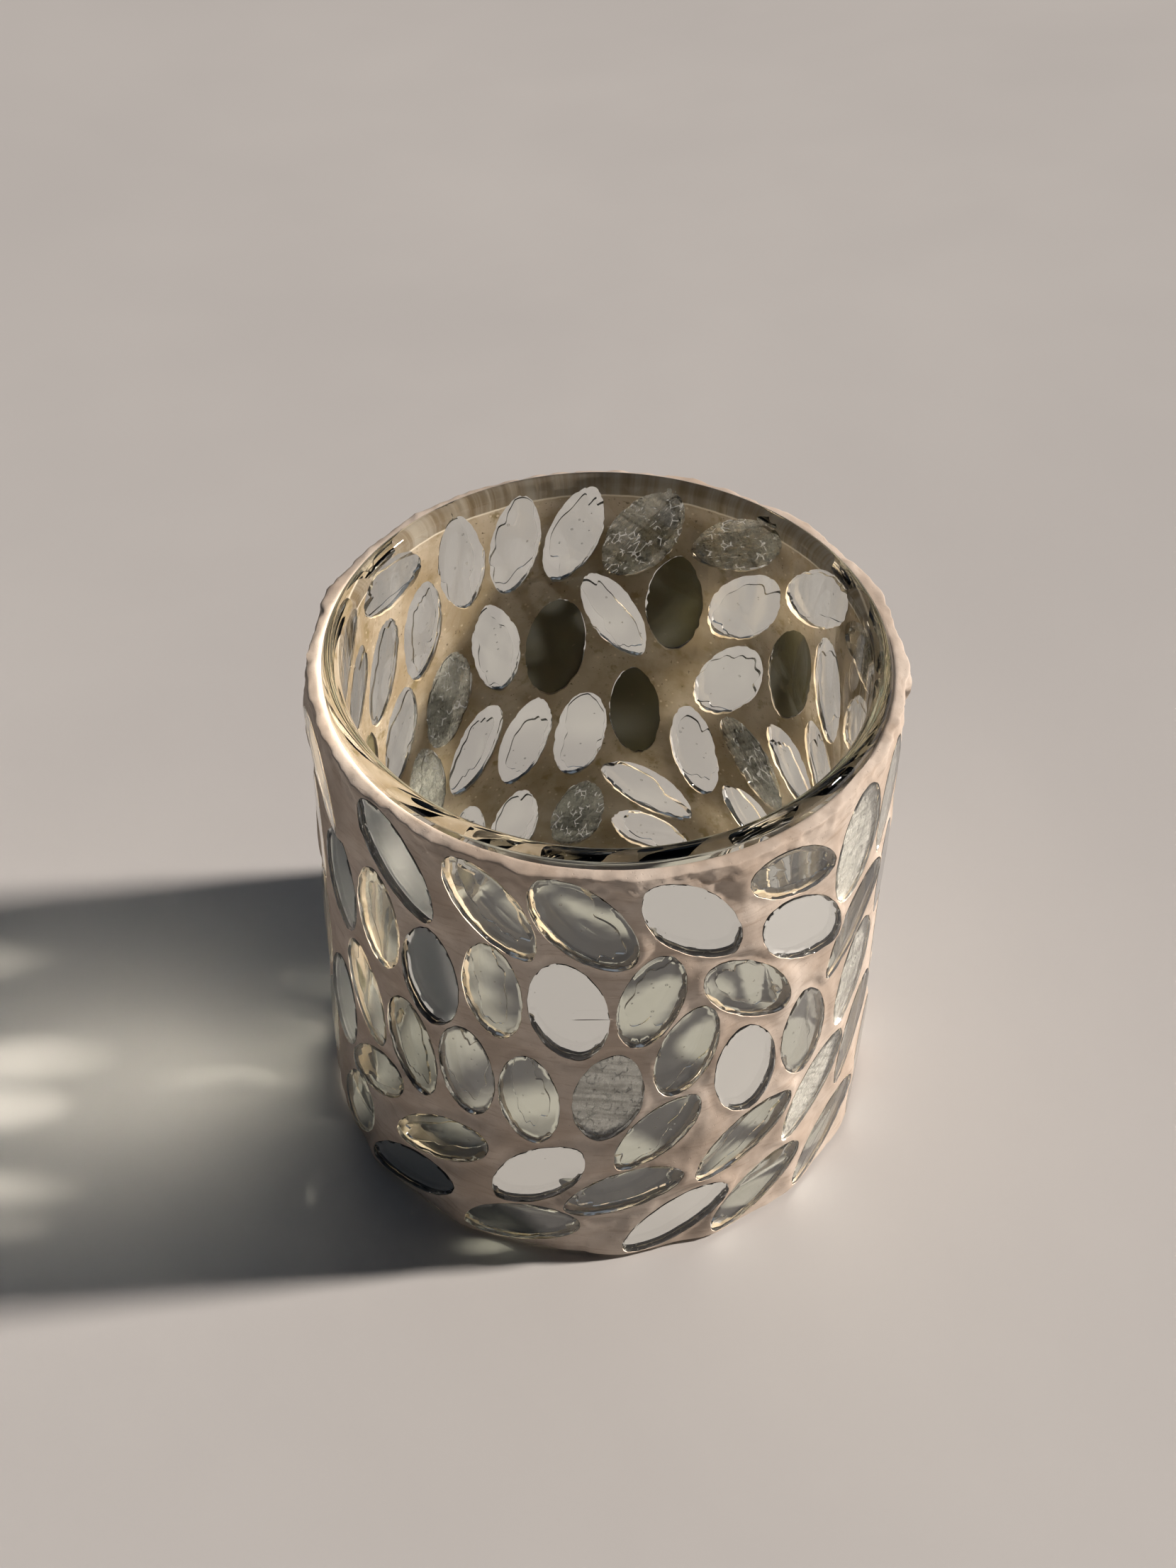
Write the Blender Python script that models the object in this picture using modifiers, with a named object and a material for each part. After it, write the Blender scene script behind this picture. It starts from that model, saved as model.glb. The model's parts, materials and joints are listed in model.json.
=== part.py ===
"""Tealight holder: a straight glass cup clad in flat oval glass tesserae, with grout between them.

Metres, +Z up, origin at the middle of the base. An azimuth is in degrees round the cup: 0 faces -Y and
90 faces +X. A tessera's lean is how far its top tips towards growing azimuth, in degrees.
"""

import math
from collections import Counter, namedtuple
from itertools import combinations

import bmesh
import bpy
import numpy as np
from mathutils import Matrix

MM = 0.001

# The cup
HEIGHT = 100 * MM
CUP_RADIUS = 46.5 * MM
WALL = 3.1 * MM
FLOOR = 6 * MM  # thickness of the base
FLOOR_FILLET = 4 * MM
FOOT_ROUND = 2.5 * MM

# The cladding
GLUE = 0.3 * MM  # between the cup and what is on it
CLEARANCE = 0.2 * MM  # round a tessera in its pocket
TESSERA_THICKNESS = 2 * MM
POINTEDNESS = 0.5  # 0 is an ellipse, 1 is a lens with sharp ends
CUTS = {  # length and width of the glazier's four ovals
    "long": (22.8 * MM, 11.2 * MM),
    "broad": (23.6 * MM, 12.2 * MM),
    "slim": (22.2 * MM, 10 * MM),
    "short": (19.2 * MM, 10.4 * MM),
}
LEAST_GROUT = 0.8 * MM  # between two tesserae at their backs, where they are nearest
GROUT_FOOT = 0.8 * MM  # the grout stops this far above the surface
GROUT_TOP = HEIGHT - 2 * MM
GROUT_EDGE_ROUND = 1.4 * MM
GROUT_FOOT_ROUND = 0.8 * MM
LOWEST_TIP = GROUT_FOOT + 0.8 * MM
HIGHEST_TIP = GROUT_TOP - 1.2 * MM

# How far the tools that cut and join run past the surfaces that they meet
POCKET_DEPTH = 2 * MM
POCKET_HEADROOM = 3 * MM
BOND_DEPTH = 0.6 * MM

# How finely round shapes are divided
ROUND_STEPS = 60
ARC_STEPS = 4
OVAL_SIDES = 12
WELD = 1e-6

# How neighbouring tesserae are eased apart
SETTLING_SIDES = 80
SETTLING_ROUNDS = 100
SETTLING_REACH = 1.2  # times the longest cut: centres farther apart than this are left alone
PUSH = 0.35  # the share of a missing gap that each of the two moves in a round
OUTWARD = 0.3  # how much of a push runs from centre to centre, where 1 is as much as across the gap

# A node of its own for every mirror and textured tessera, and for clear ones this near the front.
# The clear ones behind are one piece with the clear cup that they are bonded to.
SEPARATE_CLEAR_WITHIN = 70

BACK_RADIUS = CUP_RADIUS + GLUE
FACE_RADIUS = BACK_RADIUS + TESSERA_THICKNESS

Tessera = namedtuple("Tessera", "kind cut azimuth height lean")
MIRROR, CLEAR, TEXTURED = "mirror", "clear", "textured"
LONG, BROAD, SLIM, SHORT = "long", "broad", "slim", "short"

# Kind, cut, azimuth, height of the centre in mm, lean, course by course and once round each
LAYOUT = (
    # rim course
    (CLEAR, SLIM, -172, 86, -20), (CLEAR, SLIM, -158.5, 86, -8), (CLEAR, SLIM, -145, 86, 8),
    (CLEAR, SHORT, -123, 91.5, 82), (CLEAR, SLIM, -97, 89.5, -60), (CLEAR, SLIM, -71.5, 86, -66),
    (MIRROR, LONG, -42, 87.5, -36), (CLEAR, LONG, -21, 87, -36), (CLEAR, BROAD, -3.5, 87, -38),
    (MIRROR, LONG, 16.5, 86.5, -38), (CLEAR, SHORT, 37.5, 89, -64), (TEXTURED, BROAD, 58, 84, 8),
    (TEXTURED, SLIM, 71.5, 84.5, 12), (CLEAR, SLIM, 84, 84.5, -3), (TEXTURED, SLIM, 102.5, 91, -75),
    (CLEAR, LONG, 124, 88.5, -52), (TEXTURED, SLIM, 149.5, 89.5, -58), (TEXTURED, BROAD, 172.5, 86.5, -32),
    # upper course
    (MIRROR, BROAD, -168, 59.5, -5), (CLEAR, SLIM, -153.5, 62.5, 8), (CLEAR, SLIM, -133, 75, -5),
    (CLEAR, SLIM, -118.5, 73.5, -15), (CLEAR, SHORT, -105, 77, -25), (MIRROR, SLIM, -90, 65.5, -18),
    (CLEAR, SLIM, -77, 68, -4), (MIRROR, LONG, -61, 69, -3), (CLEAR, SLIM, -48, 70, -3),
    (MIRROR, LONG, -34.5, 64.5, 0), (CLEAR, SLIM, -21, 67.5, -5), (MIRROR, BROAD, -6, 66, -8),
    (CLEAR, SLIM, 9.5, 68.5, 12), (CLEAR, SLIM, 29, 66, -42), (MIRROR, BROAD, 41, 75, -45),
    (CLEAR, SLIM, 59, 64.5, 42), (MIRROR, SLIM, 75.5, 63, -3), (CLEAR, SLIM, 91, 62, -15),
    (CLEAR, SLIM, 101, 75.5, -38), (CLEAR, SLIM, 118.5, 71.5, 10), (MIRROR, LONG, 132, 67, -10),
    (CLEAR, LONG, 146, 76.5, -38), (MIRROR, LONG, 163, 71.5, -5), (CLEAR, SLIM, 178, 67, 28),
    # middle course
    (CLEAR, SLIM, -174, 36.5, -10), (CLEAR, SLIM, -160.5, 36.5, -18), (CLEAR, SLIM, -147, 38.5, -25),
    (TEXTURED, LONG, -140, 54.5, -10), (TEXTURED, SLIM, -133.5, 35.5, 8), (CLEAR, SLIM, -124, 54, -12),
    (MIRROR, SLIM, -108, 53, -12), (CLEAR, SLIM, -90.5, 40.5, -6), (CLEAR, SLIM, -76, 45.5, -2),
    (MIRROR, BROAD, -66, 35, 8), (CLEAR, SLIM, -53.5, 46.5, -15), (CLEAR, SLIM, -40.5, 43, -10),
    (CLEAR, SLIM, -27, 44.5, -3), (CLEAR, SLIM, -13.5, 42, -3), (TEXTURED, LONG, 2, 44.5, 8),
    (CLEAR, SLIM, 17, 54.5, 12), (MIRROR, LONG, 30, 45, -6), (CLEAR, SLIM, 44.5, 46, -5),
    (TEXTURED, LONG, 61, 49, 15), (CLEAR, SLIM, 80.5, 40, 0), (TEXTURED, SLIM, 93, 35, 8),
    (CLEAR, SLIM, 103, 48, 12), (CLEAR, SLIM, 115.5, 50.5, 32), (CLEAR, SHORT, 127.5, 45.5, 48),
    (TEXTURED, SLIM, 141, 39.5, 45), (CLEAR, LONG, 149.5, 57, -32), (CLEAR, SLIM, 157, 36, 12),
    (MIRROR, SLIM, 172.5, 43, 3),
    # lower course
    (CLEAR, SLIM, -119.5, 30, 0), (TEXTURED, SLIM, -106.5, 29, 6), (CLEAR, SLIM, -77, 19.5, 10),
    (CLEAR, SHORT, -52.5, 25.5, 50), (CLEAR, SLIM, -33, 22.5, 58), (MIRROR, LONG, -11.5, 21.5, 40),
    (CLEAR, SLIM, 5, 18, 65), (CLEAR, SLIM, 12, 33.5, 35), (CLEAR, SLIM, 31, 26, 52),
    (TEXTURED, SLIM, 50.5, 27.5, 38), (CLEAR, SLIM, 67, 30, 28), (CLEAR, SLIM, 106.5, 25, -12),
    (MIRROR, SLIM, 120.5, 27.5, 12), (CLEAR, SLIM, 137.5, 24, 60), (CLEAR, SLIM, 168.5, 22.5, 62),
    # foot course
    (TEXTURED, SHORT, -174, 14, -15), (CLEAR, SHORT, -157, 14, -12), (CLEAR, SLIM, -143.5, 13, -6),
    (MIRROR, SLIM, -130, 12, 8), (CLEAR, SHORT, -114.5, 7.5, -70), (CLEAR, SLIM, -93, 14.5, -12),
    (CLEAR, SHORT, -59.5, 10, 20), (MIRROR, SLIM, -41.5, 7.5, 65), (CLEAR, SLIM, -14.5, 6.5, 72),
    (MIRROR, SLIM, 17, 8, 55), (CLEAR, SLIM, 35, 8.5, 52), (CLEAR, SLIM, 56, 8.5, 50),
    (CLEAR, SLIM, 77, 11, 40), (CLEAR, SLIM, 93, 12, 5), (CLEAR, SHORT, 113, 7.5, -75),
    (CLEAR, SLIM, 140.5, 7.5, 78), (CLEAR, SHORT, 167, 10, 68),
)


def half_width(along, length, width):
    """Half the oval's width, this far along it from its centre: between an ellipse and a two-arc lens."""
    ellipse = width / 2 * math.sqrt(max(0, 1 - (2 * along / length) ** 2))
    arc = (length**2 + width**2) / (4 * width)
    lens = math.sqrt(arc**2 - along**2) - (arc - width / 2)
    return (1 - POINTEDNESS) * ellipse + POINTEDNESS * lens


def oval(cut, sides, grow=0):
    """The outline of a cut, upright and anticlockwise, made larger all round by grow."""
    length, width = (side + 2 * grow for side in CUTS[cut])
    points = []
    for k in range(sides):
        turn = math.tau * k / sides
        along = length / 2 * math.cos(turn)
        across = half_width(along, length, width)
        points.append((-across if math.sin(turn) > 0 else across, along))
    return points


def leaning(points, lean):
    c, s = math.cos(math.radians(lean)), math.sin(math.radians(lean))
    return np.array([(x * c + y * s, y * c - x * s) for x, y in points])


def settle(tesserae):
    """Eases neighbours apart on the unrolled cup until LEAST_GROUT is left between every two."""
    girth = math.tau * BACK_RADIUS
    shapes = [leaning(oval(t.cut, SETTLING_SIDES), t.lean) for t in tesserae]
    places = np.array([(math.radians(t.azimuth) * BACK_RADIUS, t.height) for t in tesserae])

    def offset(i, j):
        across, up = places[j] - places[i]
        return np.array(((across + girth / 2) % girth - girth / 2, up))

    reach = SETTLING_REACH * max(length for length, _ in CUTS.values())
    pairs = [(i, j) for i, j in combinations(range(len(tesserae)), 2) if math.hypot(*offset(i, j)) < reach]
    for _ in range(SETTLING_ROUNDS):
        moves = np.zeros_like(places)
        for i, j in pairs:
            centres = offset(i, j)
            between = (shapes[j] + centres)[None] - shapes[i][:, None]
            spans = np.hypot(between[..., 0], between[..., 1])
            nearest = np.unravel_index(spans.argmin(), spans.shape)
            gap, line = spans[nearest], between[nearest]
            if line @ centres < 0:  # the two overlap
                gap, line = -gap, -line
            if gap < LEAST_GROUT:
                line = line / max(math.hypot(*line), WELD) + OUTWARD * centres / math.hypot(*centres)
                push = PUSH * (LEAST_GROUT - gap) * line / math.hypot(*line)
                moves[i] -= push
                moves[j] += push
        places += moves
        for place, shape in zip(places, shapes):
            lowest, highest = LOWEST_TIP - shape[:, 1].min(), HIGHEST_TIP - shape[:, 1].max()
            place[1] = min(max(place[1], lowest), highest)
    return [
        t._replace(azimuth=math.degrees(across / BACK_RADIUS), height=up)
        for t, (across, up) in zip(tesserae, places)
    ]


def plate(cut, low, high, grow=0):
    """A flat oval plate as a closed mesh, standing along its own Y, from low to high along its own Z."""
    curve = bpy.data.curves.new("oval", "CURVE")
    curve.dimensions = "2D"
    curve.fill_mode = "BOTH"
    curve.extrude = (high - low) / 2
    outline = oval(cut, OVAL_SIDES, grow)
    spline = curve.splines.new("POLY")
    spline.points.add(len(outline) - 1)
    for point, (x, y) in zip(spline.points, outline):
        point.co = (x, y, 0, 1)
    spline.use_cyclic_u = True
    drawn = bpy.data.objects.new("oval", curve)
    bpy.context.scene.collection.objects.link(drawn)
    graph = bpy.context.evaluated_depsgraph_get()
    mesh = bpy.data.meshes.new_from_object(drawn.evaluated_get(graph))
    bpy.data.objects.remove(drawn)
    solid = bmesh.new()
    solid.from_mesh(mesh)
    bmesh.ops.remove_doubles(solid, verts=solid.verts, dist=WELD)
    bmesh.ops.translate(solid, verts=solid.verts, vec=(0, 0, (low + high) / 2))
    bmesh.ops.recalc_face_normals(solid, faces=solid.faces)
    solid.to_mesh(mesh)
    solid.free()
    return mesh


def place(tessera):
    """Turns a plate so that its own Z points out of the cup, and lifts it to its height."""
    return (
        Matrix.Rotation(math.radians(tessera.azimuth), 4, "Z")
        @ Matrix.Translation((0, 0, tessera.height))
        @ Matrix.Rotation(math.radians(90), 4, "X")
        @ Matrix.Rotation(math.radians(-tessera.lean), 4, "Z")
    )


def plates_together(name, tesserae, low, high, grow=0):
    """All these tesserae's plates in one hidden object, to cut or join with one Boolean."""
    meshes = {cut: plate(cut, low, high, grow) for cut in CUTS}
    together = bmesh.new()
    for tessera in tesserae:
        mesh = meshes[tessera.cut].copy()
        mesh.transform(place(tessera))
        together.from_mesh(mesh)
    mesh = bpy.data.meshes.new(name)
    together.to_mesh(mesh)
    together.free()
    tool = bpy.data.objects.new(name, mesh)
    tool.hide_render = True
    tool.display_type = "WIRE"
    return tool


def arc(centre, radius, first, last, steps=ARC_STEPS):
    """Points on an arc in the profile's plane, from first to last in degrees."""
    turns = [math.radians(first + (last - first) * k / steps) for k in range(steps + 1)]
    return [(centre[0] + radius * math.cos(t), centre[1] + radius * math.sin(t)) for t in turns]


def turned(name, profile, closed):
    """A profile of (radius, height) points, turned about Z."""
    mesh = bpy.data.meshes.new(name)
    edges = [(k, k + 1) for k in range(len(profile) - 1)]
    if closed:
        edges.append((len(profile) - 1, 0))
    mesh.from_pydata([(radius, 0, height) for radius, height in profile], edges, [])
    obj = bpy.data.objects.new(name, mesh)
    screw = obj.modifiers.new("turn", "SCREW")
    screw.axis = "Z"
    screw.angle = math.tau
    screw.steps = screw.render_steps = ROUND_STEPS
    screw.use_merge_vertices = True
    screw.merge_threshold = WELD
    screw.use_smooth_shade = True
    return obj


def with_boolean(obj, operation, tool):
    boolean = obj.modifiers.new(operation.lower(), "BOOLEAN")
    boolean.operation = operation
    boolean.solver = "EXACT"
    boolean.object = tool
    return obj


def glass_cup(bonded):
    """The cup, turned from its inner floor over the rim and down the outside, with the bonded ovals."""
    inner = CUP_RADIUS - WALL
    profile = [(0, FLOOR)]
    profile += arc((inner - FLOOR_FILLET, FLOOR + FLOOR_FILLET), FLOOR_FILLET, -90, 0)
    profile += arc((CUP_RADIUS - WALL / 2, HEIGHT - WALL / 2), WALL / 2, 180, 0, 2 * ARC_STEPS)
    profile += arc((CUP_RADIUS - FOOT_ROUND, FOOT_ROUND), FOOT_ROUND, 0, -90)
    profile.append((0, 0))
    return with_boolean(turned("glass_cup", profile, closed=False), "UNION", bonded)


def grout_jacket(pockets):
    """The grout, rounded at its foot and rising to a soft edge below the rim, with a pocket per tessera."""
    edge, foot = GROUT_EDGE_ROUND, GROUT_FOOT_ROUND
    profile = arc((FACE_RADIUS - edge, GROUT_TOP - edge), edge, 90, 0)
    profile += arc((FACE_RADIUS - foot, GROUT_FOOT + foot), foot, 0, -90)
    profile += [(BACK_RADIUS, GROUT_FOOT), (BACK_RADIUS, GROUT_TOP)]
    return with_boolean(turned("grout_jacket", profile, closed=True), "DIFFERENCE", pockets)


def material(name, colour, roughness, metallic=0, transmission=0):
    made = bpy.data.materials.new(name)
    made.use_nodes = True
    shader = made.node_tree.nodes["Principled BSDF"]
    shader.inputs["Base Color"].default_value = (*colour, 1)
    shader.inputs["Roughness"].default_value = roughness
    shader.inputs["Metallic"].default_value = metallic
    shader.inputs["Transmission Weight"].default_value = transmission
    made.diffuse_color = (*colour, 1)
    return made


def main():
    for obj in list(bpy.data.objects):
        bpy.data.objects.remove(obj)
    holder = bpy.data.collections.new("tealight_holder")
    tools = bpy.data.collections.new("tools")
    for collection in (holder, tools):
        bpy.context.scene.collection.children.link(collection)

    glass = material("cup_glass", (0.78, 0.86, 0.78), roughness=0.03, transmission=0.9)
    grout = material("cream_grout", (0.66, 0.55, 0.47), roughness=0.85)
    tessera_materials = {
        MIRROR: material("mirror_glass", (0.78, 0.79, 0.80), roughness=0.03, metallic=1),
        CLEAR: material("clear_glass", (0.70, 0.79, 0.70), roughness=0.05, transmission=0.9),
        TEXTURED: material("textured_glass", (0.52, 0.53, 0.53), roughness=0.35, transmission=0.3),
    }

    drawn = [Tessera(*entry) for entry in LAYOUT]
    tesserae = settle([t._replace(height=t.height * MM) for t in drawn])
    separate = [t for t in tesserae if t.kind != CLEAR or abs(t.azimuth) < SEPARATE_CLEAR_WITHIN]
    bonded = [t for t in tesserae if t not in separate]

    inside, outside = BACK_RADIUS - POCKET_DEPTH, FACE_RADIUS + POCKET_HEADROOM
    pockets = plates_together("pockets", tesserae, inside, outside, grow=CLEARANCE)
    bonds = plates_together("bonded_ovals", bonded, CUP_RADIUS - BOND_DEPTH, FACE_RADIUS)
    for tool in (pockets, bonds):
        tools.objects.link(tool)

    cup = glass_cup(bonds)
    cup.data.materials.append(glass)
    jacket = grout_jacket(pockets)
    jacket.data.materials.append(grout)
    mosaic = bpy.data.objects.new("mosaic", None)
    for obj in (cup, jacket, mosaic):
        holder.objects.link(obj)

    meshes = {cut: plate(cut, BACK_RADIUS, FACE_RADIUS) for cut in CUTS}
    numbers = Counter()
    for tessera in separate:
        numbers[tessera.kind] += 1
        name = f"{tessera.kind}_oval_{numbers[tessera.kind]:02d}"
        piece = bpy.data.objects.new(name, meshes[tessera.cut].copy())
        piece.data.materials.append(tessera_materials[tessera.kind])
        piece.parent = mosaic
        piece.matrix_world = place(tessera)
        holder.objects.link(piece)


main()
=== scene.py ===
"""Looks of the mosaic tealight holder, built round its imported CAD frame.

Metres, +Z up. Each tessera is measured on the frame and made again as a hand-nipped glass oval, and the
cup and the grout are made to fit them. A tessera's own axes are across (to the right as seen from
outside), along (its long axis, pointing up) and out.
"""

import json
import math

import bpy
import numpy as np
from mathutils import Matrix, Vector
from mathutils.geometry import delaunay_2d_cdt

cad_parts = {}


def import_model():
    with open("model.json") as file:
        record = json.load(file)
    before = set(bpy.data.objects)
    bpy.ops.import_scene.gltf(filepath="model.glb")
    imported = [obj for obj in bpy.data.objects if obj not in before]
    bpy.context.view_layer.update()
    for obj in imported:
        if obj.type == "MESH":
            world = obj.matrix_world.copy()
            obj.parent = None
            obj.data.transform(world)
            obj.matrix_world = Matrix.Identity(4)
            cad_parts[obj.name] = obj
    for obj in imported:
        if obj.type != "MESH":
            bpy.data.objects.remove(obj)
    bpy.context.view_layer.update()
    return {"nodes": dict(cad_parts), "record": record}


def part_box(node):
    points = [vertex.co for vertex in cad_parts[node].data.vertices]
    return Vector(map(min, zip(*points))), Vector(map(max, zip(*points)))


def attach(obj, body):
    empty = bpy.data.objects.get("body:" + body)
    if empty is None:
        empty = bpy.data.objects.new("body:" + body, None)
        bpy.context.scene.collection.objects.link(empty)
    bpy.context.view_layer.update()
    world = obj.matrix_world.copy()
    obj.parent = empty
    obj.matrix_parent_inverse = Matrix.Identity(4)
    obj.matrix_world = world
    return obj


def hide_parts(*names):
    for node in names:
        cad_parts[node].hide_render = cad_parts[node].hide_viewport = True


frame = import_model()

MM = 0.001

# Read from the frame
CUP_LOW, CUP_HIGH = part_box("glass_cup")
GROUT_LOW, GROUT_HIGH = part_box("grout_jacket")
HEIGHT = CUP_HIGH.z
MOUNTS = {mount["name"]: mount for mount in frame["record"]["mounts"]}
SEAT = MOUNTS["tealight_seat"]["pos_m"][2]

# The nipped glass
GLASS_EDGE = 0.16 * MM  # the bevel round a tessera's face
BACK_BEVEL = 0.12 * MM
EDGE_FACETS = 0.22 * MM  # how far its side wanders in
MOST_CHIP = 0.3 * MM
SIDE_DEPTHS = (0.12, 0.45, 0.85, 1.25, 1.65, 1.9)  # mm, of the rings down its side
FACE_SCALES = (0.9, 0.62, 0.32)  # of the rings across its face and its back
TIP_TRIM, SIDE_GROWTH = 0.03 * MM, 0.08 * MM  # against the ellipse measured on the frame
POINTED = 0.05, 0.4  # least and most share of a pointed lens in the outline
SWELL = 0.008
NIP = 0.045 * MM
MOST_TILT = math.radians(0.7)
LEAST_JOINT, LEAST_EDGE = 0.5 * MM, 0.15 * MM  # between two tesserae, and to the grout's edges
MOST_GROWTH = 0.3 * MM

# What lies behind the glass
SILVER_INSET = 0.35 * MM
BITTEN_AZIMUTH, BITTEN_HEIGHT = math.radians(-11.5), 21.5 * MM  # of the mirror with bitten silver
BITE, BITE_TURN, BITE_SPREAD = 1.7 * MM, 4.9, 0.14  # its depth, and its place and width in radians
PAINT_GAP, PAINT_THICKNESS = 0.02 * MM, 0.04 * MM
FOIL_INSET, FOIL_GAP, FOIL_THICKNESS, FOIL_RELIEF = 0.25 * MM, 0.06 * MM, 0.05 * MM, 0.03 * MM
GLUE_BITE = 0.02 * MM  # the glue wets the glass: it reaches this far into it, so no air shows
GLUE_BEHIND_FOIL = 0.14 * MM  # from the glass to the glue behind a foil

# The grout
POCKET_GAP, WIPED_DEPTH = 0.03 * MM, 0.9 * MM  # the pockets' walls are cream down to that depth
GROUT_SINK = 0.05 * MM  # it is wiped this far below the edge of a tessera's face
GROUT_HOLLOW = 0.22 * MM  # and this much further in the middle of a wide joint
GROUT_BITE = 0.02 * MM  # it wets the cup too
CREEP = {"mirror": 0.2 * MM, "clear": 0.28 * MM, "textured": 0.25 * MM}  # how far it runs under an oval
RIM_BAND, FOOT_BAND = 0.6 * MM, 0.25 * MM  # its rounded edges
BAND_FOOT = HEIGHT - 4.6 * MM  # above this its inner side is streaked and painted darker and greyer as painted shade, over a painted highlight line
GROUT_SPACING = 0.62 * MM
BORDER_POINTS = 420
SEAM_MARGIN = 16 * MM  # how much of the unrolled band is repeated past its seam

TURNS = 256  # points round the cup
OUTLINE = 72  # points round a tessera

# First numbers of the random seeds
SEEDS = {"outline": 1000, "swell": 2000, "nips": 3000, "side": 4000, "silver": 6000, "foil": 7000}
SEEDS |= {"creep": 8000, "glue": 9000, "blob": 9100, "ragged": 9200}


# ---- Measuring the frame

LEVEL = 1e-3  # the normal of an upright face rises less than this
SLIVER = 1e-10  # square metres
LEAST_FACE = 20 * MM**2  # of a bonded oval
ROUNDED_RIM = 2.2 * MM


def flat_outward(mesh, least):
    """The faces that point straight out of the cup on planes at least this far from its axis."""
    count = len(mesh.polygons)
    centres, normals, areas = np.zeros((count, 3)), np.zeros((count, 3)), np.zeros(count)
    for name, values in (("center", centres), ("normal", normals), ("area", areas)):
        mesh.polygons.foreach_get(name, values.reshape(-1))
    offsets = (centres * normals).sum(axis=1)
    level, whole = np.abs(normals[:, 2]) < LEVEL, areas > SLIVER
    return np.nonzero(level & (offsets > least) & whole)[0]


def islands(mesh, faces):
    """These faces in groups that share points."""
    points = {}
    parent = {int(f): int(f) for f in faces}

    def root(f):
        while parent[f] != f:
            parent[f] = parent[parent[f]]
            f = parent[f]
        return f

    for f in faces:
        for v in mesh.polygons[f].vertices:
            key = tuple(round(c, 6) for c in mesh.vertices[v].co)
            if key in points:
                parent[root(int(f))] = root(points[key])
            points[key] = int(f)
    groups = {}
    for f in parent:
        groups.setdefault(root(f), []).append(f)
    return list(groups.values())


class Tessera:
    """One oval's place, size and leaning, measured on its outer face in the frame."""

    def __init__(self, kind, nodes, mesh, faces):
        self.kind, self.nodes = kind, nodes
        normals = np.array([mesh.polygons[f].normal for f in faces])
        areas = np.array([mesh.polygons[f].area for f in faces])
        self.out = (normals * areas[:, None]).sum(axis=0)
        self.out[2] = 0
        self.out /= np.linalg.norm(self.out)
        corners = np.array([mesh.vertices[v].co for f in faces for v in mesh.polygons[f].vertices])
        self.across = np.cross((0, 0, 1), self.out)
        side, up = corners @ self.across, corners[:, 2]
        self.face = float((corners @ self.out).mean())
        rim = np.stack((side, up), axis=1)
        middle = (rim.max(axis=0) + rim.min(axis=0)) / 2
        self.height = float(middle[1])
        spread = np.unique(np.round(rim - middle, 6), axis=0)
        _, axes = np.linalg.eigh(spread.T @ spread)
        long_axis = axes[:, 1] * (1 if axes[1, 1] >= 0 else -1)
        self.lean = math.atan2(long_axis[0], long_axis[1])
        self.half_length = float(np.abs(spread @ long_axis).max())
        self.half_width = float(np.abs(spread @ (long_axis[1], -long_axis[0])).max())
        self.azimuth = math.atan2(self.out[0], -self.out[1])

    def leaning(self, points):
        """Points in (across, along) turned to (across, up)."""
        c, s = math.cos(self.lean), math.sin(self.lean)
        x, y = points[..., 0], points[..., 1]
        return np.stack((x * c + y * s, y * c - x * s), axis=-1)

    def axes(self):
        """Its own axes: across, along and out."""
        up = np.array((0, 0, 1))
        c, s = math.cos(self.lean), math.sin(self.lean)
        return np.stack((self.across * c - up * s, self.across * s + up * c, self.out))

    def in_space(self, points, depth):
        """Points given across and up from the centre, this far behind the plane of the face."""
        across, up = points[..., 0], points[..., 1]
        depth = np.broadcast_to(depth, across.shape)
        tilted = self.face - depth + across * self.tilt[0] + up * self.tilt[1]
        place = across[..., None] * self.across + tilted[..., None] * self.out
        place[..., 2] += up + self.height
        return place

    def unrolled(self, points, radius):
        """The same points as (arc length round the cup at this radius, height)."""
        across, up = points[..., 0], points[..., 1]
        turn = self.azimuth + np.arctan2(across, self.face)
        return np.stack((turn * radius, up + self.height), axis=-1)


def measured_tesserae():
    """All the tesserae: one for each oval node, and those that are one piece with the cup."""
    nodes = frame["nodes"]
    ovals = sorted(n for n in nodes if n.rsplit("_", 1)[0].endswith("oval"))
    found = []
    for name in ovals:
        mesh = nodes[name].data
        found.append(Tessera(name.split("_")[0], [name], mesh, flat_outward(mesh, CUP_RADIUS + MM)))
    face = np.mean([t.face for t in found])
    cup = nodes["glass_cup"].data
    for group in islands(cup, flat_outward(cup, face - 0.1 * MM)):
        if sum(cup.polygons[f].area for f in group) > LEAST_FACE:
            found.append(Tessera("clear", [], cup, group))
    bonded = sorted((t for t in found if not t.nodes), key=lambda t: (round(t.azimuth, 3), t.height))
    return [t for t in found if t.nodes] + bonded


def cup_radii():
    """Outer and inner radius of the cup, from the points of its rim."""
    points = np.array([v.co for v in frame["nodes"]["glass_cup"].data.vertices])
    high = points[points[:, 2] > HEIGHT - ROUNDED_RIM]
    radii = np.hypot(high[:, 0], high[:, 1])
    return float(radii.max()), float(radii.min())


CUP_RADIUS, CUP_INNER = cup_radii()
WALL = CUP_RADIUS - CUP_INNER
TESSERAE = measured_tesserae()
FACE_RADIUS = float(np.mean([t.face for t in TESSERAE]))
THICKNESS = 2 * MM
GIRTH = math.tau * FACE_RADIUS


# ---- Smooth noise, the same each run


def wave_noise(places, scale, seed, waves=14):
    """Smooth noise of about unit size at these places: sine waves of about this length."""
    rng = np.random.default_rng(seed)
    total = np.zeros(places.shape[:-1])
    for _ in range(waves):
        way = rng.normal(size=3)
        way *= math.tau / scale * rng.uniform(0.6, 1.5) / np.linalg.norm(way)
        total += np.sin(places @ way + rng.uniform(0, math.tau))
    return total / math.sqrt(waves / 2)


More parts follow.
